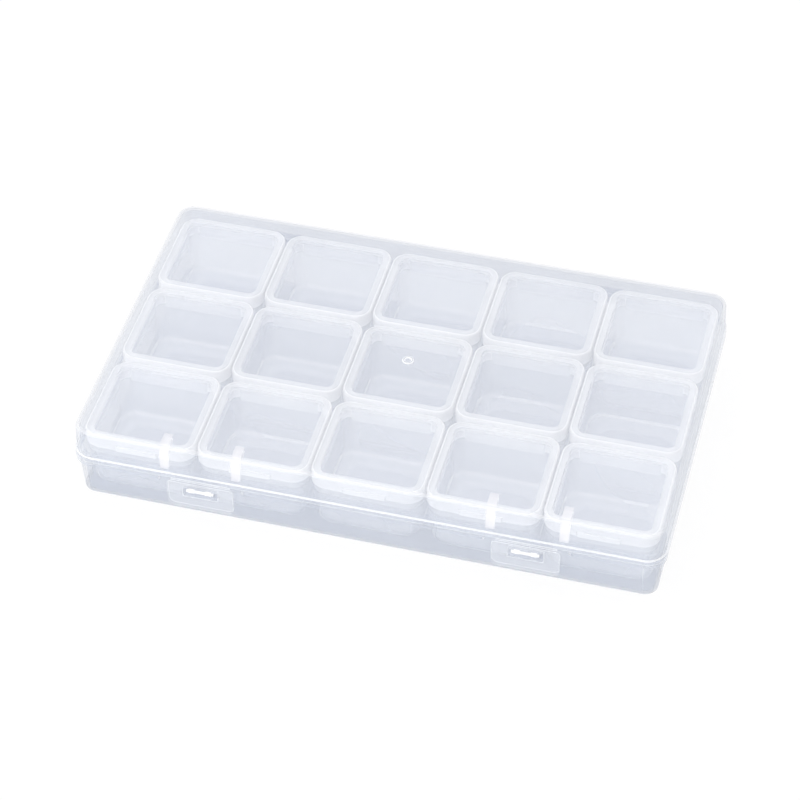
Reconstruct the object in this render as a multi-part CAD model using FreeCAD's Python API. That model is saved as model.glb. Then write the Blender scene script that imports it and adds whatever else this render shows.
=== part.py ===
"""Clear craft organizer: a hinged case with two latch flaps that holds rows of small lidded boxes.

All sizes are in millimetres. +Z is up, the latches face -Y and the hinge is at +Y.
The origin is the centre of the case's underside.
"""
import FreeCAD, Part
import math
import os

Vector = FreeCAD.Vector

# Outer case
case_length = 175.0
case_width = 107.0
case_height = 26.0
parting_height = 14.8
corner_radius = 6.0
case_wall = 1.0
case_floor = 1.2
lid_panel = 1.1

# Rims of the two halves, which meet at the parting height
rim_height = 1.65
rim_gap = 0.05
base_rim_overhang = 0.9
base_draft = 1.0
foot_radius = 1.6
lid_rim_overhang = 0.3
lid_draft = 0.5
lid_edge_radius = 1.3

# Upstand of the base that centres the lid
upstand_height = 2.0
upstand_wall = 0.8
upstand_clearance = 0.15

# Snap hinge at the back: bars between ears on the base, hooks on the lid
hinge_spacing = 96.0
hook_width = 12.0
hook_side_clearance = 0.25
hook_radius = 2.2
hook_rim_clearance = 0.3
hook_mouth = 1.7
hook_mouth_angle = -45.0
ear_width = 2.6
bar_radius = 1.1
bar_clearance = 0.08

# Latch flaps on the lid and catches on the base
latch_spacing = 96.2
latch_width = 19.8
latch_drop = 10.2
latch_thickness = 1.2
latch_stand_off = 0.7
latch_web = 0.4
latch_web_drop = 0.6
latch_lower_radius = 2.0
latch_upper_radius = 1.1
latch_notch_margin = 2.1
notch_end_radius = 1.2
slot_width = 10.4
slot_height = 3.3
slot_drop = 4.1
catch_end_clearance = 1.1
catch_top_clearance = 0.55
catch_under_clearance = 0.35
catch_protrusion = 0.3
catch_ramp = 0.6
nub_width = 1.8
nub_height = 0.3
nub_protrusion = 0.15
nub_spacing = 5.0

# Gussets inside the lid's front wall, a pair beside each latch
gusset_width_low = 1.4
gusset_width_high = 2.6
gusset_offset = 0.8
gusset_lift = 3.0
gusset_depth_low = 0.7
gusset_depth_high = 1.4
gusset_reach = 4.5
gusset_headroom = 0.4
gusset_end_height = 0.6

# Gate ring at the middle of the lid
gate_radius = 1.6
gate_bore = 1.0
gate_height = 0.3

# Small boxes
columns = 5
rows = 3
column_gap = 0.6
row_gap = 1.4
side_play = 0.4
front_play = 1.1
rear_play = 0.7
box_headroom = 2.2
box_corner_radius = 4.0
box_corner_steps = 3
box_wall = 1.0
box_floor = 1.0
tray_step = 0.3
tray_draft = 0.6
tray_foot_radius = 4.5
tray_foot_steps = 2
lid_depth = 4.4
lid_plate = 1.0
lid_top_bevel = 0.5
lid_band = 2.3
lid_pane_radius = 1.7
lid_seat_gap = 0.1

# Ribs under a small lid that plug into its tray
plug_clearance = 0.2
plug_wall = 0.8
plug_depth = 1.2

# Hinge strap and thumb tab of a small box
strap_width = 13.0
strap_thickness = 0.4
strap_length = 2.4
tab_width = 13.0
tab_reach = 0.6
tab_height = 1.8
tab_bevel = 0.5

# Overlaps that join pieces, margins beyond a cut, and the slack for comparing places
weld = 0.4
overcut = 1.0
place_slack = 1e-4

# Levels and places that follow from the sizes above
front_face = -case_width / 2
rear_face = case_width / 2
rim_low = parting_height - rim_height
rim_high = parting_height + rim_height
lid_low = parting_height + rim_gap
lid_underside = case_height - lid_panel
lid_inner_inset = lid_rim_overhang + case_wall
upstand_inset = lid_inner_inset + upstand_clearance
upstand_top = parting_height + upstand_height
clear_inset = upstand_inset + upstand_wall
hinge_y = rear_face + hook_radius + hook_rim_clearance
hinge_z = parting_height
latch_face = front_face - latch_stand_off
latch_top = parting_height - latch_web_drop
latch_foot = parting_height - latch_drop
slot_top = parting_height - slot_drop + slot_height / 2
slot_foot = slot_top - slot_height
box_top = lid_underside - box_headroom
pane_underside = box_top - lid_plate
box_parting = box_top - lid_depth
tray_rim = box_parting - lid_seat_gap
clear_length = case_length - 2 * clear_inset - 2 * side_play
clear_width = case_width - 2 * clear_inset - front_play - rear_play
box_length = (clear_length - (columns - 1) * column_gap) / columns
box_width = (clear_width - (rows - 1) * row_gap) / rows
box_rear = box_width / 2
column_pitch = box_length + column_gap
row_pitch = box_width + row_gap
grid_centre_y = (front_play - rear_play) / 2
latch_centres = (-latch_spacing / 2, latch_spacing / 2)
hinge_centres = (-hinge_spacing / 2, hinge_spacing / 2)


def block(low, high):
    """Box between two corners."""
    size = Vector(*high) - Vector(*low)
    return Part.makeBox(size.x, size.y, size.z, Vector(*low))


def prism(corners, path):
    """Flat polygon swept along a straight path."""
    return Part.Face(Part.makePolygon(corners + corners[:1])).extrude(path)


def side_profile(points, start_x, width):
    """Prism along X on a profile of (y, z) points."""
    return prism([Vector(start_x, y, z) for y, z in points], Vector(width, 0, 0))


def rod(radius, start_x, length, axis_y, axis_z):
    """Cylinder that lies along X."""
    return Part.makeCylinder(radius, length, Vector(start_x, axis_y, axis_z), Vector(1, 0, 0))


def joined(solids):
    """One clean solid from pieces that overlap or share faces."""
    return solids[0].multiFuse(solids[1:]).removeSplitter()


def rounded_block(length, width, radius, low, high, lean=0.0):
    """Block with round upright corners, sized at its top. A lean draws its foot in on every side."""
    rise = high - low
    hub_x = length / 2 - radius
    hub_y = width / 2 - radius
    pieces = []
    for x in (-hub_x, hub_x):
        for y in (-hub_y, hub_y):
            hub = Vector(x, y, low)
            if lean:
                pieces.append(Part.makeCone(radius - lean, radius, rise, hub))
            else:
                pieces.append(Part.makeCylinder(radius, rise, hub))
    foot_x = length / 2 - lean
    foot_y = width / 2 - lean
    across = [Vector(-hub_x, -foot_y, low), Vector(-hub_x, foot_y, low),
              Vector(-hub_x, width / 2, high), Vector(-hub_x, -width / 2, high)]
    along = [Vector(-foot_x, -hub_y, low), Vector(foot_x, -hub_y, low),
             Vector(length / 2, -hub_y, high), Vector(-length / 2, -hub_y, high)]
    pieces.append(prism(across, Vector(2 * hub_x, 0, 0)))
    pieces.append(prism(along, Vector(0, 2 * hub_y, 0)))
    return joined(pieces)


def case_block(inset, low, high, lean=0.0):
    """Rounded block that follows the case's rim, drawn in by an inset at its top."""
    length = case_length - 2 * inset
    width = case_width - 2 * inset
    return rounded_block(length, width, corner_radius - inset, low, high, lean)


def box_ring(inset, radius, height):
    """Points round a small box at a height. Each corner turns in a few straight steps."""
    points = []
    for quarter, (side_x, side_y) in enumerate(((1, 1), (-1, 1), (-1, -1), (1, -1))):
        hub_x = side_x * (box_length / 2 - inset - radius)
        hub_y = side_y * (box_width / 2 - inset - radius)
        for step in range(box_corner_steps + 1):
            angle = (quarter + step / box_corner_steps) * math.pi / 2
            points.append(Vector(hub_x + radius * math.cos(angle), hub_y + radius * math.sin(angle), height))
    return points


def box_stack(stations):
    """Solid through rings round a small box, from the top one down: (inset, corner radius, height)."""
    rings = [box_ring(*station) for station in stations]
    outlines = [rings[0], rings[-1]]
    for upper, lower in zip(rings, rings[1:]):
        for here in range(len(upper)):
            following = (here + 1) % len(upper)
            outlines.append([lower[here], lower[following], upper[following], upper[here]])
    faces = [Part.Face(Part.makePolygon(outline + outline[:1])) for outline in outlines]
    return Part.Solid(Part.Shell(faces))


def edges_at_height(solid, height):
    """Edges that lie flat at a height."""
    found = []
    for edge in solid.Edges:
        box = edge.BoundBox
        if abs(box.ZMin - height) < place_slack and abs(box.ZMax - height) < place_slack:
            found.append(edge)
    return found


def short_cross_edges(solid, height, longest):
    """Flat edges at a height that run along Y and are no longer than a limit."""
    found = []
    for edge in edges_at_height(solid, height):
        box = edge.BoundBox
        if box.XLength < place_slack and box.YLength < longest + place_slack:
            found.append(edge)
    return found


def base_rim():
    """Rim of the base, cut away with rounded ends where the latch flaps hang."""
    rim = case_block(0.0, rim_low, parting_height)
    half_notch = latch_width / 2 + latch_notch_margin
    for centre in latch_centres:
        rim = rim.cut(block((centre - half_notch, front_face - overcut, rim_low - overcut),
                            (centre + half_notch, front_face + base_rim_overhang, parting_height + overcut)))
    return rim.makeFillet(notch_end_radius, short_cross_edges(rim, rim_low, base_rim_overhang))


def catch(centre):
    """Bar on the base's front wall that a latch slot hooks over, with two nubs on its top."""
    root = front_face + base_rim_overhang + case_wall / 2
    tip = latch_face - catch_protrusion
    top = slot_top - catch_top_clearance
    foot = slot_foot + catch_under_clearance
    width = slot_width - 2 * catch_end_clearance
    bar = ((root, foot), (root, top), (tip + catch_ramp, top), (tip, top - catch_ramp), (tip, foot))
    pieces = [side_profile(bar, centre - width / 2, width)]
    nub_top = top + nub_height
    nub_tip = tip - nub_protrusion
    nub = ((root, foot), (root, nub_top), (tip + catch_ramp, nub_top), (nub_tip, top - catch_ramp),
           (nub_tip, foot + catch_ramp), (tip, foot))
    for side in (-1, 1):
        pieces.append(side_profile(nub, centre + side * nub_spacing / 2 - nub_width / 2, nub_width))
    return joined(pieces)


def base_hinge(centre):
    """Two ears on the base's rim with a bar between them."""
    inner_half = hook_width / 2 + hook_side_clearance
    pieces = [rod(bar_radius, centre - inner_half - weld, 2 * (inner_half + weld), hinge_y, hinge_z)]
    for start in (centre - inner_half - ear_width, centre + inner_half):
        pieces.append(rod(hook_radius, start, ear_width, hinge_y, hinge_z))
        pieces.append(block((start, rear_face - base_rim_overhang, rim_low),
                            (start + ear_width, hinge_y, parting_height)))
    return joined(pieces)


def make_case_base():
    """Drafted tray with a rim, an upstand inside the lid, catches and hinge ears."""
    body = case_block(base_rim_overhang, 0.0, rim_low, base_draft)
    body = body.makeFillet(foot_radius, edges_at_height(body, 0.0))
    upstand = case_block(upstand_inset, parting_height, upstand_top)
    floor_inset = base_rim_overhang + base_draft + case_wall
    cavity = case_block(clear_inset, case_floor, upstand_top, floor_inset - clear_inset)
    shell = joined([body, base_rim(), upstand]).cut(cavity)
    fittings = [catch(centre) for centre in latch_centres]
    fittings += [base_hinge(centre) for centre in hinge_centres]
    return joined([shell] + fittings)


def gusset(centre):
    """Tapered web that stiffens the corner between the lid's front wall and its panel."""
    wall_low = front_face + lid_inner_inset
    wall_high = wall_low + lid_draft
    low = parting_height + gusset_lift
    step = box_top + gusset_headroom
    high = lid_underside + weld
    root = wall_low - weld
    back = wall_high + gusset_reach
    profile = ((root, low), (wall_low + gusset_depth_low, low), (wall_high + gusset_depth_high, step),
               (back, lid_underside - gusset_end_height), (back, high), (root, high))
    web = side_profile(profile, centre - gusset_width_high / 2, gusset_width_high)
    outline = []
    for side, heights in ((-1, (low, step, high)), (1, (high, step, low))):
        for height in heights:
            width = gusset_width_low if height == low else gusset_width_high
            outline.append(Vector(centre + side * width / 2, root, height))
    return web.common(prism(outline, Vector(0, back - root, 0)))


def gate_ring():
    """Low ring left by the gate at the middle of the lid."""
    foot = Vector(0, 0, case_height - weld)
    ring = Part.makeCylinder(gate_radius, gate_height + weld, foot)
    return ring.cut(Part.makeCylinder(gate_bore, gate_height + weld, foot))


def lid_hook(centre):
    """Hook on the lid's rim that clips on a hinge bar. Its mouth points down and back."""
    start = centre - hook_width / 2
    end = centre + hook_width / 2
    barrel = rod(hook_radius, start, hook_width, hinge_y, hinge_z)
    web = block((start, rear_face - lid_inner_inset, lid_low), (end, hinge_y, rim_high))
    bore = rod(bar_radius + bar_clearance, start, hook_width, hinge_y, hinge_z)
    mouth = block((start, hinge_y, hinge_z - hook_mouth / 2),
                  (end, hinge_y + hook_radius + overcut, hinge_z + hook_mouth / 2))
    mouth.rotate(Vector(0, hinge_y, hinge_z), Vector(1, 0, 0), hook_mouth_angle)
    return barrel.fuse(web).cut(bore).cut(mouth)


def make_case_lid():
    """Lid shell with a rim, gussets, a gate ring and hinge hooks."""
    shell = case_block(lid_rim_overhang + lid_draft, lid_low, case_height, -lid_draft)
    shell = shell.makeFillet(lid_edge_radius, edges_at_height(shell, case_height))
    rim = case_block(0.0, lid_low, rim_high)
    cavity = case_block(lid_inner_inset + lid_draft, lid_low, lid_underside, -lid_draft)
    pieces = [joined([shell, rim]).cut(cavity), gate_ring()]
    for centre in latch_centres:
        for side in (-1, 1):
            pieces.append(gusset(centre + side * (latch_width / 2 + gusset_offset)))
    pieces += [lid_hook(centre) for centre in hinge_centres]
    return joined(pieces)


def make_latch(centre):
    """Flap with a slot, hung from the lid's rim by a thin web."""
    left = centre - latch_width / 2
    right = centre + latch_width / 2
    back = latch_face + latch_thickness
    plate = block((left, latch_face, latch_foot), (right, back, latch_top))
    plate = plate.makeFillet(latch_lower_radius, short_cross_edges(plate, latch_foot, latch_thickness))
    plate = plate.makeFillet(latch_upper_radius, short_cross_edges(plate, latch_top, latch_thickness))
    web = block((left + latch_upper_radius, front_face, latch_top - latch_upper_radius),
                (right - latch_upper_radius, front_face + latch_web, parting_height))
    slot = block((centre - slot_width / 2, latch_face - overcut, slot_foot),
                 (centre + slot_width / 2, back + overcut, slot_top))
    return joined([plate, web]).cut(slot)


def box_centre(row, column):
    """Middle of a small box. Row 1 is at the hinge and column 1 is at the left."""
    x = (column - (columns + 1) / 2) * column_pitch
    y = grid_centre_y + ((rows + 1) / 2 - row) * row_pitch
    return x, y


def strap_leaf(low, high):
    """One half of the folding strap on a small box's back."""
    return block((-strap_width / 2, box_rear - box_wall / 2, low),
                 (strap_width / 2, box_rear + strap_thickness, high))


def cup(inset, floor, foot_radius):
    """Drafted block on a rounded foot, which is a tray's outside or the room in it."""
    radius = box_corner_radius + tray_step - inset
    stations = [(inset, radius, tray_rim)]
    for step in range(tray_foot_steps + 1):
        angle = step / tray_foot_steps * math.pi / 2
        run = foot_radius * (1 - math.cos(angle))
        rise = foot_radius * (1 - math.sin(angle))
        stations.append((inset + tray_draft + run, radius, floor + rise))
    return box_stack(stations)


def make_small_tray():
    """Thin cup that stands back under its lid, with the lower half of the hinge strap."""
    outside = cup(tray_step, case_floor, tray_foot_radius)
    inside = cup(tray_step + box_wall, case_floor + box_floor, tray_foot_radius - box_floor)
    strap = strap_leaf(tray_rim - strap_length, tray_rim)
    return joined([outside.cut(inside), strap])


def plug_rib(half_x, half_y):
    """Straight rib that hangs from the lid's band into the tray."""
    return block((-half_x, -half_y, box_parting - plug_depth), (half_x, half_y, box_parting + weld))


def make_small_lid():
    """Flat lid with a thick band round its pane, plug ribs, a thumb tab and half of the strap."""
    lid = box_stack([(lid_top_bevel, box_corner_radius - lid_top_bevel, box_top),
                     (0.0, box_corner_radius, box_top - lid_top_bevel),
                     (0.0, box_corner_radius, box_parting)])
    lid = lid.cut(box_stack([(lid_band, lid_pane_radius, height) for height in (pane_underside, box_parting)]))
    plug_inset = tray_step + box_wall + plug_clearance
    half_x = box_length / 2 - box_corner_radius
    half_y = box_width / 2 - box_corner_radius
    pieces = [lid]
    for side in (-1, 1):
        offset_x = side * (box_length / 2 - plug_inset - plug_wall / 2)
        offset_y = side * (box_width / 2 - plug_inset - plug_wall / 2)
        pieces.append(plug_rib(plug_wall / 2, half_y).translated(Vector(offset_x, 0, 0)))
        pieces.append(plug_rib(half_x, plug_wall / 2).translated(Vector(0, offset_y, 0)))
    tip = -box_rear - tab_reach
    root = -box_rear + box_wall / 2
    half_tab = tab_width / 2
    tab = ((half_tab, root), (-half_tab, root), (-half_tab, tip + tab_bevel), (tab_bevel - half_tab, tip),
           (half_tab - tab_bevel, tip), (half_tab, tip + tab_bevel))
    pieces.append(prism([Vector(x, y, box_parting) for x, y in tab], Vector(0, 0, tab_height)))
    pieces.append(strap_leaf(box_parting, box_parting + strap_length))
    return joined(pieces)


def save(name, solid):
    """Writes one piece and prints whether it is sound."""
    solid.exportStep("parts/" + name + ".step")
    state = "valid" if solid.isValid() else "NOT VALID"
    print(name, state, len(solid.Solids), "solid", round(solid.Volume, 1), "mm3")


os.makedirs("parts", exist_ok=True)
save("case_base", make_case_base())
save("case_lid", make_case_lid())
for name, centre in zip(("latch_left", "latch_right"), latch_centres):
    save(name, make_latch(centre))

tray = make_small_tray()
lid = make_small_lid()
for row in range(1, rows + 1):
    for column in range(1, columns + 1):
        place = Vector(*box_centre(row, column), 0)
        save(f"small_tray_r{row}c{column}", tray.translated(place))
        save(f"small_lid_r{row}c{column}", lid.translated(place))
print("small box", round(box_length, 2), "x", round(box_width, 2))
print("pitch", round(column_pitch, 2), "x", round(row_pitch, 2))
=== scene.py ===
# %% [markdown]
# # A clear craft organizer
# The object is a flat hinged case of clear moulded plastic with fifteen lidded boxes inside.
# Everything in it is the same glassy, slightly milky plastic, so the picture is made by layers:
# the eye looks through many thin walls before it reaches the table.
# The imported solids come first, as a fixed frame that nothing here moves.

# %% Load the frame
import math

import bmesh
import bpy
from mathutils import Matrix, Vector


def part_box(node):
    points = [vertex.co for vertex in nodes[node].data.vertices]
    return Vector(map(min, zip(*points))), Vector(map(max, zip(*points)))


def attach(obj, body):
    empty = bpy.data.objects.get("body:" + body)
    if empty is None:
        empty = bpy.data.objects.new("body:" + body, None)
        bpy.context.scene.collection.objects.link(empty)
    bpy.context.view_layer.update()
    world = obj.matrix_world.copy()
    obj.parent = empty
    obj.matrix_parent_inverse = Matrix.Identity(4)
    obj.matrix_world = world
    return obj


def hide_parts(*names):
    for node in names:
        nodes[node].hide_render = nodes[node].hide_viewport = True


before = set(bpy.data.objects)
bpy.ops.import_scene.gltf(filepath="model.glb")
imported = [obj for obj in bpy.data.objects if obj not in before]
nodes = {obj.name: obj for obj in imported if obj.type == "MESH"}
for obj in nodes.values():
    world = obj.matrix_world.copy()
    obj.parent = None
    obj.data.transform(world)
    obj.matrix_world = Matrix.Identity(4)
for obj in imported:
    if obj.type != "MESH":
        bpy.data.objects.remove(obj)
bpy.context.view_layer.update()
scene = bpy.context.scene
MM = 0.001

# %% [markdown]
# ## Two small helpers
# Colours are picked as sRGB hex values, the way a picture editor shows them, and Blender's shaders
# want linear light, so one function turns the first into the second.
# The other adds a shader node, fills in its settings and joins its inputs, which keeps each finish
# readable as a list of what feeds what.


# %% Colour and node helpers
def linear(hex_colour):
    """Linear RGBA from an sRGB hex value such as E2E8F4."""
    channels = [int(hex_colour[place:place + 2], 16) / 255 for place in (0, 2, 4)]
    light = [c / 12.92 if c <= 0.04045 else ((c + 0.055) / 1.055) ** 2.4 for c in channels]
    return (*light, 1.0)


def add(tree, kind, inputs=None, **settings):
    """Adds a node. An input is a value, or a socket of another node to link from."""
    node = tree.nodes.new(kind)
    for name, value in settings.items():
        setattr(node, name, value)
    for name, value in (inputs or {}).items():
        if isinstance(value, bpy.types.NodeSocket):
            tree.links.new(value, node.inputs[name])
        else:
            node.inputs[name].default_value = value
    return node


print("white is", [round(c, 3) for c in linear("FFFFFF")])

# %% [markdown]
# ## Clear polypropylene, injection moulded
# Clear polypropylene is not as clear as glass: tiny crystals in it scatter a little light, which gives
# thin walls a faint cool haze and makes thick rims look milky white.
# It could be made as a real refracting solid. That would need very many samples through so many walls,
# and a wall of 1 mm hardly bends the view, so each wall is a thin veil: a pale surface that is mostly
# see-through. The veil closes at grazing angles, where the path through the wall is longer.
# What a veil can't do is to gather light in rims and corners, so those places get whiter finishes below.
# Clear plastic throws a faint shadow, so the veil stops less light on its way to a lamp.
# Moulded walls are never quite even. A slow cloud, about as wide as the melt's flow fronts, varies the
# haze, and a fine ripple from the mould's polish breaks up the gloss. The ripple is drawn coarser
# than the real one of about 0.1 mm, so that it shows at all.

# %% Polypropylene
polypropylene_ior = 1.49
flow_cloud_mm = 24.0
mould_ripple_mm = 2.5
ripple_depth_mm = 0.001
haze_swing = 0.08
gloss_swing = 0.2
grazing_power = 8.0
shadow_share = 0.3


def moulded_polypropylene(name, pale, cool, veil, grazing_veil, roughness, zones=()):
    """Clear moulded plastic. The veil is the share of light that one wall surface stops head on.

    Each zone is (mask maker, colour, veil) for a place on the moulding that looks different.
    """
    material = bpy.data.materials.new(name)
    material.use_nodes = True
    tree = material.node_tree
    tree.nodes.clear()
    place = add(tree, "ShaderNodeTexCoord").outputs["Object"]
    own = add(tree, "ShaderNodeObjectInfo").outputs["Random"]
    cloud = add(tree, "ShaderNodeTexNoise", {
        "Vector": place, "W": own, "Scale": 1 / (flow_cloud_mm * MM), "Detail": 0.0},
        noise_dimensions="4D").outputs["Fac"]
    ripple = add(tree, "ShaderNodeTexNoise", {
        "Vector": place, "Scale": 1 / (mould_ripple_mm * MM), "Detail": 0.0}).outputs["Fac"]
    tint = add(tree, "ShaderNodeMix", {"Factor": cloud, "A": linear(pale), "B": linear(cool)},
               data_type="RGBA").outputs["Result"]
    haze = add(tree, "ShaderNodeMapRange", {
        "Value": cloud, "To Min": veil * (1 - haze_swing),
        "To Max": veil * (1 + haze_swing)}).outputs["Result"]
    for mask_maker, zone_colour, zone_veil in zones:
        mask = mask_maker(tree)
        tint = add(tree, "ShaderNodeMix", {"Factor": mask, "A": tint, "B": linear(zone_colour)},
                   data_type="RGBA").outputs["Result"]
        haze = add(tree, "ShaderNodeMix", {"Factor": mask, "A": haze, "B": zone_veil}).outputs["Result"]
    edge_on = add(tree, "ShaderNodeLayerWeight").outputs["Facing"]
    steep = add(tree, "ShaderNodeMath", {0: edge_on, 1: grazing_power}, operation="POWER").outputs[0]
    closing = add(tree, "ShaderNodeMath", {0: steep, 1: grazing_veil, 2: haze},
                  operation="MULTIPLY_ADD", use_clamp=True).outputs[0]
    to_lamp = add(tree, "ShaderNodeLightPath").outputs["Is Shadow Ray"]
    passing = add(tree, "ShaderNodeMapRange", {
        "Value": to_lamp, "To Min": 1.0, "To Max": shadow_share}).outputs["Result"]
    closing = add(tree, "ShaderNodeMath", {0: closing, 1: passing}, operation="MULTIPLY").outputs[0]
    gloss = add(tree, "ShaderNodeMapRange", {
        "Value": ripple, "To Min": roughness * (1 - gloss_swing),
        "To Max": roughness * (1 + gloss_swing)}).outputs["Result"]
    bump = add(tree, "ShaderNodeBump", {"Height": ripple, "Distance": ripple_depth_mm * MM})
    plastic = add(tree, "ShaderNodeBsdfPrincipled", {
        "Base Color": tint, "Roughness": gloss, "IOR": polypropylene_ior, "Alpha": closing,
        "Normal": bump.outputs["Normal"]})
    add(tree, "ShaderNodeOutputMaterial", {"Surface": plastic.outputs["BSDF"]})
    print("finish", name)
    return material


print("cloud", flow_cloud_mm, "mm, ripple", mould_ripple_mm, "mm")

# %% [markdown]
# ## Places on the case that look different
# The base and the lid are one moulding each, yet their floor, panel, walls, webs and rounded edges look
# different. Mostly the eye meets more or less plastic there, but the greyer floor and the greyer wall at
# the hinge are painted shade, and the whiter rounded edges are partly a painted highlight. They could be
# cut into separate faces by hand. It is simpler to find each place by where it lies on the moulding: a
# mask is 1 there and 0 elsewhere. The masks go by the moulding's own coordinates, so they stay put when
# the lid swings.

# %% Heights and sides of the case
case_floor_mm = 1.2
lid_panel_mm = 1.1
gate_ring_mm = 0.3
level_margin_mm = 0.1
hinge_corner_mm = 47.0
hinge_wall_mm = 52.0
lid_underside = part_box("case_lid")[1].z - (lid_panel_mm + gate_ring_mm) * MM


def spot(tree):
    """The three coordinates of a point on the moulding, in metres."""
    place = add(tree, "ShaderNodeTexCoord").outputs["Object"]
    return add(tree, "ShaderNodeSeparateXYZ", {"Vector": place}).outputs


# Painted shade: the floor of the case gets a greyer colour for the shade that lies on it.
def case_floor_shade_mask(tree):
    """1 on the floor of the case, 0 above it."""
    level = (case_floor_mm + level_margin_mm) * MM
    return add(tree, "ShaderNodeMath", {0: spot(tree)["Z"], 1: level}, operation="LESS_THAN").outputs[0]


def lid_panel_mask(tree):
    """1 on the flat panel of the lid, 0 below it."""
    level = lid_underside - level_margin_mm * MM
    return add(tree, "ShaderNodeMath", {0: spot(tree)["Z"], 1: level},
               operation="GREATER_THAN").outputs[0]


# Painted shade: the lid's wall at the hinge gets a greyer colour for the shade along the back of the
# case.
def hinge_wall_shade_mask(tree):
    """1 on the wall of the lid at the hinge, fading out round its corners."""
    return add(tree, "ShaderNodeMapRange", {
        "Value": spot(tree)["Y"], "From Min": hinge_corner_mm * MM,
        "From Max": hinge_wall_mm * MM}).outputs["Result"]


print("underside of the lid's panel at", round(lid_underside / MM, 2), "mm")

# %% Edges and corners of the case
upright_rise = {"From Min": 0.15, "From Max": 0.4}
flat_rise = {"From Min": 0.985, "From Max": 0.9}
inner_corner_mm = 0.5


def rounded_edge_mask(tree):
    """1 on surfaces that slope, as on a rounded edge, and 0 on flat and upright ones."""
    facing = add(tree, "ShaderNodeTexCoord").outputs["Normal"]
    rise = add(tree, "ShaderNodeSeparateXYZ", {"Vector": facing}).outputs["Z"]
    rise = add(tree, "ShaderNodeMath", {0: rise}, operation="ABSOLUTE").outputs[0]
    off_upright = add(tree, "ShaderNodeMapRange", {"Value": rise, **upright_rise}).outputs[0]
    off_flat = add(tree, "ShaderNodeMapRange", {"Value": rise, **flat_rise}).outputs[0]
    return add(tree, "ShaderNodeMath", {0: off_upright, 1: off_flat}, operation="MULTIPLY").outputs[0]


def inner_corner_mask(tree):
    """1 where a wall meets the floor of the case or the panel of the lid from inside."""
    height = spot(tree)["Z"]
    reach = inner_corner_mm * MM
    floor = add(tree, "ShaderNodeMath", {0: height, 1: case_floor_mm * MM, 2: reach}, operation="COMPARE")
    panel = add(tree, "ShaderNodeMath", {0: height, 1: lid_underside, 2: reach}, operation="COMPARE")
    return add(tree, "ShaderNodeMath", {0: floor.outputs[0], 1: panel.outputs[0]},
               operation="MAXIMUM").outputs[0]


print("sloping from", upright_rise["From Max"], "to", flat_rise["From Max"], "of upright")

# %% Webs behind the front wall of the lid
latch_middle_mm = 48.1
gusset_offset_mm = 10.7
gusset_half_mm = 1.35
gusset_back_mm = -47.0
gusset_foot_mm = 17.7


def gusset_mask(tree):
    """1 on the four webs, two beside each latch. Folding x over twice lays all four on one."""
    x, y, z = spot(tree)
    for offset in (0.0, latch_middle_mm, gusset_offset_mm):
        x = add(tree, "ShaderNodeMath", {0: x, 1: offset * MM}, operation="SUBTRACT").outputs[0]
        x = add(tree, "ShaderNodeMath", {0: x}, operation="ABSOLUTE").outputs[0]
    near = add(tree, "ShaderNodeMath", {0: x, 1: gusset_half_mm * MM}, operation="LESS_THAN")
    front = add(tree, "ShaderNodeMath", {0: y, 1: gusset_back_mm * MM}, operation="LESS_THAN")
    above = add(tree, "ShaderNodeMath", {0: z, 1: gusset_foot_mm * MM}, operation="GREATER_THAN")
    both = add(tree, "ShaderNodeMath", {0: near.outputs[0], 1: front.outputs[0]}, operation="MULTIPLY")
    return add(tree, "ShaderNodeMath", {0: both.outputs[0], 1: above.outputs[0]},
               operation="MULTIPLY").outputs[0]


print("webs at", latch_middle_mm - gusset_offset_mm, "and", latch_middle_mm + gusset_offset_mm, "mm")

# %% [markdown]
# ## Finishes of the case and the boxes
# All are the same polypropylene. They differ in how much plastic the eye meets: a pane head on is
# almost clear, a wall seen along its length is hazy, and a rim seen end-on is nearly white, partly as a
# painted highlight.
# The tones were matched to the picture, layer by layer. Two of them have no reason in the material
# itself: the greyer floor of the case and the slightly greyer wall of the lid at the hinge are painted
# shade, the cool grey of the shade that shows through the clear plastic.

# %% Finishes of the case
# Walls of the base: a thin cool veil. Its floor lies under everything and sets the tone of the whole; the
# floor's greyer colour is painted shade.
# Its rounded edges are near white, partly milky thick plastic and partly a painted highlight.
base_finish = moulded_polypropylene(
    "polypropylene_case_base", "D4D9E3", "CDD3DF", veil=0.24, grazing_veil=0.7, roughness=0.18,
    zones=((case_floor_shade_mask, "CACFDB", 0.56), (rounded_edge_mask, "FFFFFF", 0.85)))
# The lid: a milky sheet over everything, with cooler walls and whiter webs. Its greyer wall at the hinge
# is painted shade.
# The lid's rounded edges are whiter, partly as a painted highlight.
lid_finish = moulded_polypropylene(
    "polypropylene_case_lid", "DFE3EB", "D8DDE7", veil=0.23, grazing_veil=1.0, roughness=0.16,
    zones=((hinge_wall_shade_mask, "BEC4D2", 0.38), (lid_panel_mask, "ECEFF6", 0.17),
           (gusset_mask, "FDFBFE", 0.34), (rounded_edge_mask, "FCFDFF", 0.28)))
# The latch flaps: thin and a little milky.
latch_finish = moulded_polypropylene(
    "polypropylene_latch_flap", "EEF0F4", "E7EAF0", veil=0.2, grazing_veil=0.3, roughness=0.18)
# Edges and rims of the case: nearly white, partly because thick plastic seen end-on is milky and partly
# as a painted highlight. Inner corners stay clear.
case_edge_finish = moulded_polypropylene(
    "polypropylene_case_edge", "FFFFFF", "FAFBFE", veil=0.9, grazing_veil=0.1, roughness=0.2,
    zones=((inner_corner_mask, "ECEFF6", 0.15),))

# %% Finishes of the small boxes
# Panes and floors: the clearest places.
box_pane_finish = moulded_polypropylene(
    "polypropylene_box_pane", "E9EDF7", "E2E7F4", veil=0.12, grazing_veil=0.3, roughness=0.2)
# Upright walls: the eye looks along them, so they gather more haze.
box_wall_finish = moulded_polypropylene(
    "polypropylene_box_wall", "F8F9FC", "F3F6FA", veil=0.28, grazing_veil=0.3, roughness=0.2)
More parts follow.
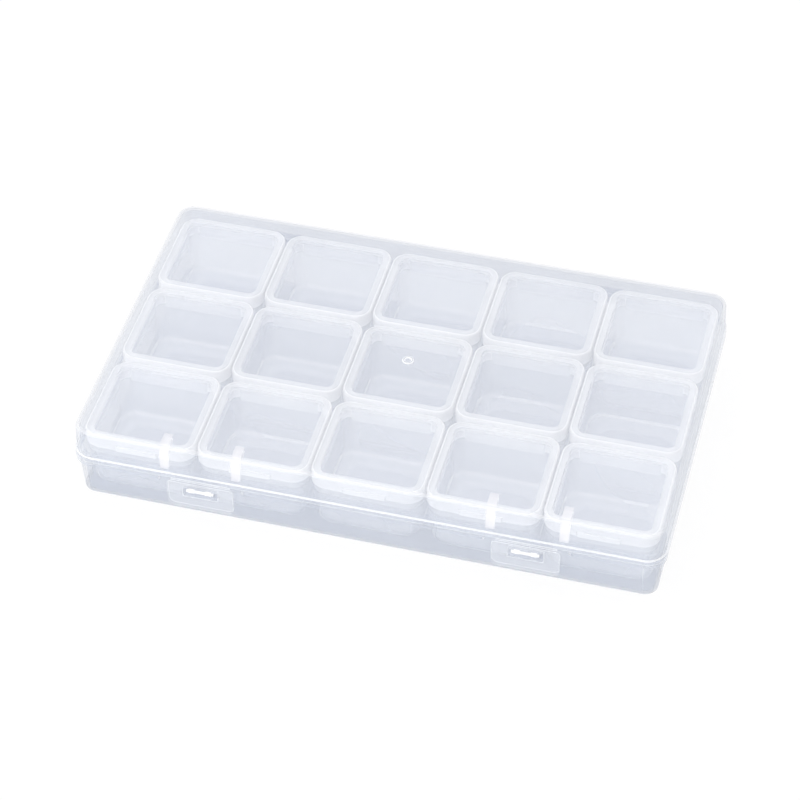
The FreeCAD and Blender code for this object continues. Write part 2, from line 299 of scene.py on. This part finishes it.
# The thick band round a small lid's pane: milky.
box_band_finish = moulded_polypropylene(
    "polypropylene_box_band", "FCFDFF", "F8F9FD", veil=0.42, grazing_veil=0.4, roughness=0.2)
# The upright sides of a small lid: whiter, as the eye meets the whole height of the band.
box_side_finish = moulded_polypropylene(
    "polypropylene_box_side", "FEFEFF", "FAFBFE", veil=0.76, grazing_veil=0.3, roughness=0.2)
# Rounded edges, tabs and rims, which gather the light.
box_edge_finish = moulded_polypropylene(
    "polypropylene_box_edge", "FFFFFF", "FDFDFF", veil=0.72, grazing_veil=0.28, roughness=0.2)
box_finishes = (box_pane_finish, box_wall_finish, box_band_finish, box_side_finish, box_edge_finish)
PANE, WALL, BAND, SIDE, EDGE = range(len(box_finishes))

# %% [markdown]
# ## The case and its latch flaps
# These four mouldings keep their solids, which have the right shape. A mould can't make a knife-sharp
# edge, so every edge of the real case is broken by a tiny radius that catches a line of light.
# Modelling those radii one by one would take hundreds of fillets. A bevel on every sharp edge does it
# in one go, and it can give its narrow faces a finish of their own: the near white of thick edges, partly
# milky plastic and partly a painted highlight for that line of light.
# The solids come as triangles, so these are first joined and merged into flat faces.

# %% Dress the case
edge_break_mm = 0.4
edge_break_steps = 2
sharp_edge = math.radians(32)
weld_mm = 0.0005
same_plane = math.radians(0.5)
case_finishes = {"case_base": base_finish, "case_lid": lid_finish,
                 "latch_left": latch_finish, "latch_right": latch_finish}
for name, body_finish in case_finishes.items():
    moulding = nodes[name]
    moulding.data.materials.clear()
    for finish in (body_finish, case_edge_finish):
        moulding.data.materials.append(finish)
    weld = moulding.modifiers.new("join the triangles", "WELD")
    weld.merge_threshold = weld_mm * MM
    plain = moulding.modifiers.new("flat faces as one", "DECIMATE")
    plain.decimate_type = "DISSOLVE"
    plain.angle_limit = same_plane
    edges = moulding.modifiers.new("broken edges", "BEVEL")
    edges.width = edge_break_mm * MM
    edges.segments = edge_break_steps
    edges.limit_method = "ANGLE"
    edges.angle_limit = sharp_edge
    edges.material = 1
    edges.harden_normals = True
    # One shadow, from the base, is enough on the table. The layers above would only muddy the inside.
    moulding.visible_shadow = name == "case_base"
    print("dressed", name)

# %% [markdown]
# ## Outlines of a small box
# A small box is a rounded rectangle at every height, so its whole skin can be drawn as a stack of rings:
# each ring has an inset from the widest outline, a corner radius and a height.
# Two extra points on the front side and two on the back mark where the thumb tab and the hinge strap
# stand out. A column is the place of a face along the ring, counted from the right side.

# %% Rings
corner_steps = 8
corner_radius_mm = 4.8
tongue_half_mm = 6.5
tab_reach_mm = 0.6
strap_thickness_mm = 0.4
sample_low, sample_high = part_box("small_lid_r1c1")
box_length_mm = (sample_high.x - sample_low.x) / MM
box_width_mm = (sample_high.y - sample_low.y) / MM - tab_reach_mm - strap_thickness_mm
rear_column = corner_steps + 1
left_column = 2 * corner_steps + 3
front_column = 3 * corner_steps + 5
right_column = -1
corner_starts = (0, rear_column + 2, left_column + 1, front_column + 2)
corner_columns = [start + step for start in corner_starts for step in range(corner_steps)]


def ring(inset, radius, height):
    """Points once round a small box, in metres, from its right side anticlockwise."""
    half_x = box_length_mm / 2 - inset
    half_y = box_width_mm / 2 - inset
    points = []
    for quarter, (side_x, side_y) in enumerate(((1, 1), (-1, 1), (-1, -1), (1, -1))):
        hub_x = side_x * (half_x - radius)
        hub_y = side_y * (half_y - radius)
        for step in range(corner_steps + 1):
            angle = (quarter + step / corner_steps) * math.pi / 2
            points.append((hub_x + radius * math.cos(angle), hub_y + radius * math.sin(angle), height))
        if quarter in (0, 2):
            for along in (tongue_half_mm * side_x, -tongue_half_mm * side_x):
                points.append((along, side_y * half_y, height))
    return [Vector(point) * MM for point in points]


def quarter_round(radius, steps):
    """(run, rise) pairs from 0 to the radius along a quarter circle."""
    angles = [step / steps * math.pi / 2 for step in range(steps + 1)]
    return [(radius * (1 - math.cos(angle)), radius * math.sin(angle)) for angle in angles]


print("small box", round(box_length_mm, 2), "x", round(box_width_mm, 2), "mm")
print("ring of", len(ring(0.0, corner_radius_mm, 0.0)), "points")

# %% [markdown]
# ## From rings to a skin
# Faces are stretched from ring to ring, as on a stack of hoops. This gives true round corners and
# rounded edges with few points, and each strip between two rings can have its own finish.
# The flat faces that close the skin at both ends are left flat: smooth shading would bend the light on
# them towards the corners.


# %% Skins
def skin(stations, first_finish):
    """Closed mesh through rings. A station is (inset, radius, height, finish of the strip after it)."""
    mesh = bmesh.new()
    hoops = [[mesh.verts.new(point) for point in ring(*station[:3])] for station in stations]
    mesh.faces.new(list(reversed(hoops[0]))).material_index = first_finish
    strips = []
    for here, onward, station in zip(hoops, hoops[1:], stations):
        strip = []
        for index in range(len(here)):
            after = (index + 1) % len(here)
            face = mesh.faces.new((here[index], here[after], onward[after], onward[index]))
            face.material_index = station[3]
            face.smooth = True
            strip.append(face)
        strips.append(strip)
    mesh.faces.new(hoops[-1]).material_index = stations[-1][3]
    return mesh, strips


def drawn_out(mesh, faces, shift_mm, finish, pinch_mm=0.0):
    """Draws a patch of the skin out into a tongue or rib, its ends pulled in by the pinch."""
    patch = bmesh.ops.dissolve_faces(mesh, faces=faces)["region"] if len(faces) > 1 else faces
    tongue = bmesh.ops.extrude_discrete_faces(mesh, faces=patch)["faces"][0]
    tongue.material_index = finish
    for edge in tongue.edges:
        for flank in edge.link_faces:
            flank.material_index = finish
    for corner in tongue.verts:
        corner.co += Vector(shift_mm) * MM
        corner.co.x -= math.copysign(pinch_mm * MM, corner.co.x)


def finished(mesh, name):
    """Blender mesh from the skin of a box, smooth except at its sharp edges."""
    bmesh.ops.recalc_face_normals(mesh, faces=mesh.faces)
    data = bpy.data.meshes.new(name)
    mesh.to_mesh(data)
    mesh.free()
    for finish in box_finishes:
        data.materials.append(finish)
    data.set_sharp_from_angle(angle=sharp_edge)
    print(name, len(data.vertices), "points", len(data.polygons), "faces")
    return data


print("a skin is sharp above", round(math.degrees(sharp_edge)), "degrees")

# %% [markdown]
# ## The small trays
# A tray is a thin cup that stands back a little under its lid, tapers so that it leaves the mould, and
# has a well rounded foot so that a finger can scoop beads out of it.
# The skin starts at the middle of the underside, climbs the outside, turns over the rim and goes down
# to the floor inside, so one closed shell has its real wall thickness.
# One narrow strip of the rounded foot is whiter. It stands for the light that a real foot bends into
# a line, which a veil without refraction can't do.

# %% Tray
tray_low, tray_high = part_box("small_tray_r1c1")
tray_foot_mm = tray_low.z / MM
tray_rim_mm = tray_high.z / MM
tray_step_mm = 0.3
tray_draft_mm = 0.6
tray_wall_mm = 1.0
tray_foot_radius_mm = 4.5
tray_inner_radius_mm = tray_foot_radius_mm - tray_wall_mm
rim_round_mm = 0.25
strap_length_mm = 2.4
foot_steps = 7
foot_line_step = 4


def tray_mesh():
    """Cup with a rounded foot and half of the hinge strap."""
    foot_inset = tray_step_mm + tray_draft_mm
    foot_top = tray_foot_mm + tray_foot_radius_mm
    stations = []
    for run, rise in reversed(quarter_round(tray_foot_radius_mm, foot_steps)):
        stations.append((foot_inset + run, corner_radius_mm, foot_top - rise, WALL))
    stations[foot_line_step] = (*stations[foot_line_step][:3], EDGE)
    strap_start = len(stations)
    for drop, finish in ((strap_length_mm, BAND), (rim_round_mm, EDGE)):
        inset = tray_step_mm + tray_draft_mm * drop / (tray_rim_mm - foot_top)
        stations.append((inset, corner_radius_mm, tray_rim_mm - drop, finish))
    inner_inset = tray_step_mm + tray_wall_mm
    inner_radius = corner_radius_mm - tray_wall_mm
    stations.append((tray_step_mm + rim_round_mm, corner_radius_mm - rim_round_mm, tray_rim_mm, EDGE))
    stations.append((inner_inset - rim_round_mm, inner_radius + rim_round_mm, tray_rim_mm, EDGE))
    stations.append((inner_inset, inner_radius, tray_rim_mm - rim_round_mm, WALL))
    for run, rise in quarter_round(tray_inner_radius_mm, foot_steps):
        stations.append((foot_inset + tray_wall_mm + run, inner_radius, foot_top - rise, WALL))
    stations[-1] = (*stations[-1][:3], PANE)
    mesh, strips = skin(stations, PANE)
    strap = [strips[strap_start][rear_column]]
    drawn_out(mesh, strap, (0, tray_step_mm + strap_thickness_mm, 0), EDGE)
    return finished(mesh, "small tray")


tray = tray_mesh()

# %% [markdown]
# ## The small lids
# A lid has a clear pane inside a thick band. The band's rounded top edge is what shows most in the
# whole picture: a bright line round every box.
# The skin starts under the pane, steps down the inside of the band, goes out along its underside, up
# the outside and over the edge. Ribs that plug into the tray, the thumb tab and the other half of the
# hinge strap are patches of that skin, drawn out.
# The inner corners of the band are whiter, as the light gathers there.

# %% Lid
lid_top_mm = sample_high.z / MM
plug_depth_mm = 1.2
lid_foot_mm = sample_low.z / MM + plug_depth_mm
pane_mm = 1.0
band_mm = 2.3
rib_inset_mm = 1.5
top_round_mm = 0.6
foot_round_mm = 0.15
pane_round_mm = 0.4
tab_height_mm = 1.8
tab_bevel_mm = 0.5
round_steps = 4


def lid_mesh():
    """Pane in a thick band, with plug ribs, a thumb tab and half of the hinge strap."""
    stations = []
    under = lid_top_mm - pane_mm
    for run, rise in quarter_round(pane_round_mm, round_steps):
        inset = band_mm + pane_round_mm - rise
        stations.append((inset, corner_radius_mm - inset, under - run, BAND))
    rib_start = len(stations)
    for inset in (band_mm, rib_inset_mm, foot_round_mm):
        stations.append((inset, corner_radius_mm - inset, lid_foot_mm, BAND))
    tab_start = len(stations)
    for height in (foot_round_mm, tab_height_mm, strap_length_mm):
        stations.append((0.0, corner_radius_mm, lid_foot_mm + height, SIDE))
    for run, rise in quarter_round(top_round_mm, round_steps):
        stations.append((run, corner_radius_mm - run, lid_top_mm - top_round_mm + rise, EDGE))
    stations[-1] = (*stations[-1][:3], BAND)
    stations.append((band_mm, corner_radius_mm - band_mm, lid_top_mm, PANE))
    mesh, strips = skin(stations, PANE)
    for strip in strips[:rib_start]:
        for column in corner_columns:
            strip[column].material_index = EDGE
    rib_strip, tab_strip, strap_strip = strips[rib_start], strips[tab_start], strips[tab_start + 1]
    drawn_out(mesh, [tab_strip[front_column]], (0, -tab_reach_mm, 0), EDGE, tab_bevel_mm)
    strap = [tab_strip[rear_column], strap_strip[rear_column]]
    drawn_out(mesh, strap, (0, strap_thickness_mm, 0), SIDE)
    sides = ([rear_column - 1, rear_column, rear_column + 1], [left_column],
             [front_column - 1, front_column, front_column + 1], [right_column])
    for columns in sides:
        drawn_out(mesh, [rib_strip[column] for column in columns], (0, 0, -plug_depth_mm), BAND)
    return finished(mesh, "small lid")


lid = lid_mesh()

# %% [markdown]
# ## Fifteen boxes in the case
# The boxes are all alike, so one tray mesh and one lid mesh are shared by all of them. Each pair stands
# where its solids are, rides on the same body and takes their place in the picture.

# %% Place the boxes
for name in sorted(nodes):
    if not name.startswith("small_"):
        continue
    partner = name.replace("small_tray", "small_lid")
    low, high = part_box(partner)
    middle_x = (low.x + high.x) / 2
    middle_y = (low.y + high.y) / 2 + (tab_reach_mm - strap_thickness_mm) / 2 * MM
    piece = bpy.data.objects.new(name + "_moulding", tray if "tray" in name else lid)
    piece.location = (middle_x, middle_y, 0)
    piece.visible_shadow = False
    scene.collection.objects.link(piece)
    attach(piece, "base" if "tray" in name else name)
    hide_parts(name)
print("boxes placed")

# %% [markdown]
# ## Table
# The object stands on a white painted table. A plain lit floor would be a little grey in the picture.
# For the eye the table is mostly an even white, and a part of it is real lit paint, so that the shadow
# under the case still shows. The paint has a faint grain, coarser than a real one.

# %% White table
table_size_mm = 6000.0
table_drop_mm = 0.2
table_grain_mm = 15.0
even_white = 0.85
table_mesh = bmesh.new()
bmesh.ops.create_grid(table_mesh, x_segments=1, y_segments=1, size=table_size_mm / 2 * MM)
table_data = bpy.data.meshes.new("table")
table_mesh.to_mesh(table_data)
table_mesh.free()
table = bpy.data.objects.new("table", table_data)
table.location = (0, 0, -table_drop_mm * MM)
scene.collection.objects.link(table)


def seen_rays(tree):
    """1 for rays from the eye, also by way of a mirroring or clear surface, and 0 for lighting."""
    ray = add(tree, "ShaderNodeLightPath").outputs
    seen = add(tree, "ShaderNodeMath", {0: ray["Is Camera Ray"], 1: ray["Is Glossy Ray"]},
               operation="MAXIMUM").outputs[0]
    return add(tree, "ShaderNodeMath", {0: seen, 1: ray["Is Transmission Ray"]},
               operation="MAXIMUM").outputs[0]


paint = bpy.data.materials.new("white_painted_table")
paint.use_nodes = True
tree = paint.node_tree
tree.nodes.clear()
share = add(tree, "ShaderNodeMath", {0: seen_rays(tree), 1: even_white}, operation="MULTIPLY")
# The noise runs from 0 to 1 over the whole table, so its scale is the number of grains across it.
grain = add(tree, "ShaderNodeTexNoise", {"Scale": table_size_mm / table_grain_mm})
coat = add(tree, "ShaderNodeMix", {
    "Factor": grain.outputs["Fac"], "A": linear("FFFFFF"), "B": linear("FCFCFD")}, data_type="RGBA")
lit = add(tree, "ShaderNodeBsdfDiffuse", {"Color": coat.outputs["Result"]})
even = add(tree, "ShaderNodeEmission", {"Color": linear("FFFFFF"), "Strength": 1.0})
mixed = add(tree, "ShaderNodeMixShader", {0: share.outputs[0], 1: lit.outputs[0], 2: even.outputs[0]})
add(tree, "ShaderNodeOutputMaterial", {"Surface": mixed.outputs[0]})
table_data.materials.append(paint)
print("table", table_size_mm, "mm wide")

# %% [markdown]
# ## Light
# Clear plastic shows best in light from all round, so most of it comes from a white room.
# Two large soft lamps add a little shape: one high up behind the case draws light lines along its rims,
# and one in front lights the walls that face the eye.

# %% White room and two lamps
room_light = 0.87
world = bpy.data.worlds.new("white room")
scene.world = world
world.use_nodes = True
tree = world.node_tree
tree.nodes.clear()
level = add(tree, "ShaderNodeMapRange", {"Value": seen_rays(tree), "To Min": room_light, "To Max": 1.0})
air = add(tree, "ShaderNodeBackground", {"Color": linear("FFFFFF"), "Strength": level.outputs["Result"]})
add(tree, "ShaderNodeOutputWorld", {"Surface": air.outputs[0]})


def lamp(name, place_mm, size_mm, watts):
    """Soft square lamp that looks at the middle of the case."""
    data = bpy.data.lights.new(name, "AREA")
    data.size = size_mm * MM
    data.energy = watts
    body = bpy.data.objects.new(name, data)
    body.location = Vector(place_mm) * MM
    body.rotation_euler = (-Vector(place_mm)).to_track_quat("-Z", "Y").to_euler()
    scene.collection.objects.link(body)
    print("lamp", name, watts, "W")


lamp("soft lamp above", place_mm=(-150, 350, 900), size_mm=700, watts=2.2)
lamp("soft lamp in front", place_mm=(-250, -900, 350), size_mm=600, watts=2.5)

# %% [markdown]
# ## Camera
# The picture is taken from in front and above, a little to the right, with a long lens. The viewing
# angles, the distance and the lens were fitted to the case's own edges, so the camera is built from
# those few numbers. The rows of its matrix are the directions right, up and back.

# %% Camera
view_azimuth = math.radians(14.749)
view_elevation = math.radians(43.765)
view_roll = math.radians(-0.216)
view_distance_mm = 867.34
view_target_mm = Vector((-4.958, 9.25, 0.0))
focal_pixels = 2853.12
image_pixels = 800
sensor_mm = 36.0
far_limit_m = 20.0
clear_walls_crossed = 64
back = Vector((math.sin(view_azimuth) * math.cos(view_elevation),
               -math.cos(view_azimuth) * math.cos(view_elevation), math.sin(view_elevation)))
level_right = Vector((math.cos(view_azimuth), math.sin(view_azimuth), 0))
level_up = back.cross(level_right)
right = level_right * math.cos(view_roll) + level_up * math.sin(view_roll)
up = back.cross(right)
camera_data = bpy.data.cameras.new("camera")
camera_data.sensor_width = sensor_mm
camera_data.lens = focal_pixels * sensor_mm / image_pixels
camera_data.clip_end = far_limit_m
camera = bpy.data.objects.new("camera", camera_data)
turn = Matrix((right, up, back)).transposed().to_4x4()
camera.matrix_world = Matrix.Translation((view_target_mm + back * view_distance_mm) * MM) @ turn
scene.collection.objects.link(camera)
scene.camera = camera
scene.view_settings.view_transform = "Standard"
# A view through the whole case crosses far more clear walls than the eight that a ray passes by default.
scene.cycles.transparent_max_bounces = clear_walls_crossed
print("lens", round(camera_data.lens, 2), "mm")

# %% [markdown]
# ## Last update
# The scene is brought up to date once more at the end.

# %% Finish
bpy.context.view_layer.update()
